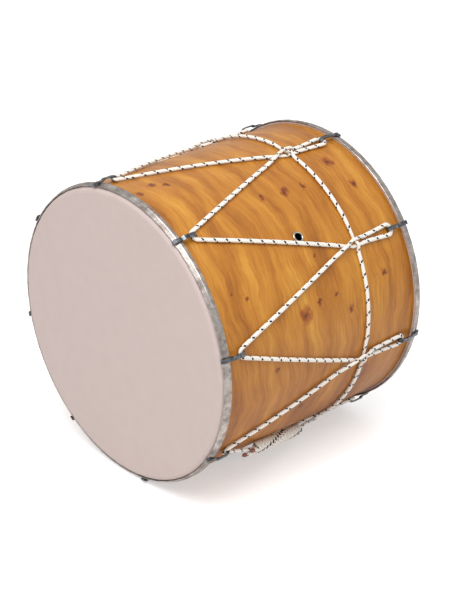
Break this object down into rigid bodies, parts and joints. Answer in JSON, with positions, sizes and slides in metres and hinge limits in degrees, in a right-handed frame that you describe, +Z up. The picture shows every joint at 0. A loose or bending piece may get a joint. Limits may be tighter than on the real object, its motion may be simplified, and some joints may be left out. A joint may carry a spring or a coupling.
{
  "type": "caucasian drum",
  "caption": "Two-headed Caucasian drum: a round wooden shell with a flat head at each end, held by hooks laced together with a zigzag cord.",
  "frame": {"origin": "on the floor under the middle of the drum, which lies on its side", "axes": "+Z up, the drum's axis along Y, the front head facing -Y"},
  "size_m": [0.3512, 0.3082, 0.3513],
  "materials": {
    "veneer": "satin lacquer",
    "film": "matte",
    "hoop_metal": "satin",
    "hook_steel": "satin",
    "nickel": "polished",
    "cord": "braided"
  },
  "bodies": {
    "root": {"cord_tail_1": "cord", "cord_tail_2": "cord", "front_head": "film", "front_hook_1": "hook_steel", "front_hook_2": "hook_steel", "front_hook_3": "hook_steel", "front_hook_4": "hook_steel", "front_hook_5": "hook_steel", "front_hook_6": "hook_steel", "front_hook_7": "hook_steel", "front_hook_8": "hook_steel", "front_hoop": "hoop_metal", "handle_winding": "cord", "lacing_cord": "cord", "rear_head": "film", "rear_hook_1": "hook_steel", "rear_hook_2": "hook_steel", "rear_hook_3": "hook_steel", "rear_hook_4": "hook_steel", "rear_hook_5": "hook_steel", "rear_hook_6": "hook_steel", "rear_hook_7": "hook_steel", "rear_hook_8": "hook_steel", "rear_hoop": "hoop_metal", "ring_cord": "cord", "shell": "veneer", "vent_eyelet": "nickel"}
  },
  "joints": []
}
